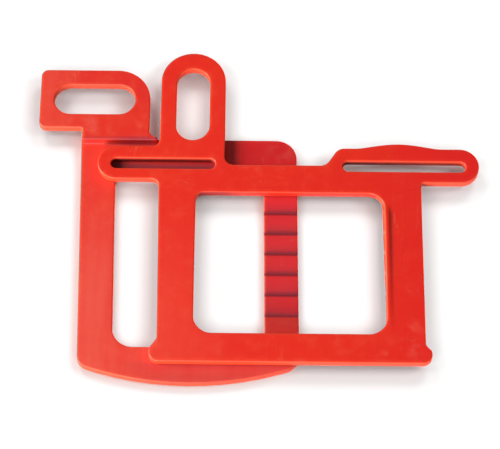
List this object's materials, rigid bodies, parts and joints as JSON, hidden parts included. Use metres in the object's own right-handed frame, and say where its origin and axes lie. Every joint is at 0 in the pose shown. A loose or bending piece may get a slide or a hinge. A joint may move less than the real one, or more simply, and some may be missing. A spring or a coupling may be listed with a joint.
{
  "type": "beekeeping frame grip",
  "caption": "Flat two-plate sliding grip for lifting comb frames: a slotted front frame slides on a rear frame with a raised handle, closing two jaws.",
  "frame": {"origin": "centre of the bounding box in plan, on the underside of the rear plate", "axes": "+X along the slide, from the raised handle towards the front plate's right bar; +Y up the frames towards the loop; +Z through the thickness, from the rear plate to the front plate"},
  "size_m": [0.2436, 0.1978, 0.0112],
  "materials": {
    "red_plastic_rear": "satin moulded, lightly scuffed",
    "red_plastic_front": "satin moulded"
  },
  "bodies": {
    "rear": {"rear_frame": "red_plastic_rear"},
    "front": {"front_frame": "red_plastic_front"}
  },
  "joints": [
    {"name": "jaw_slide", "type": "slide", "parent": "rear", "child": "front", "axis": [1, 0, 0], "range_m": [-0.0009, 0.024]}
  ]
}
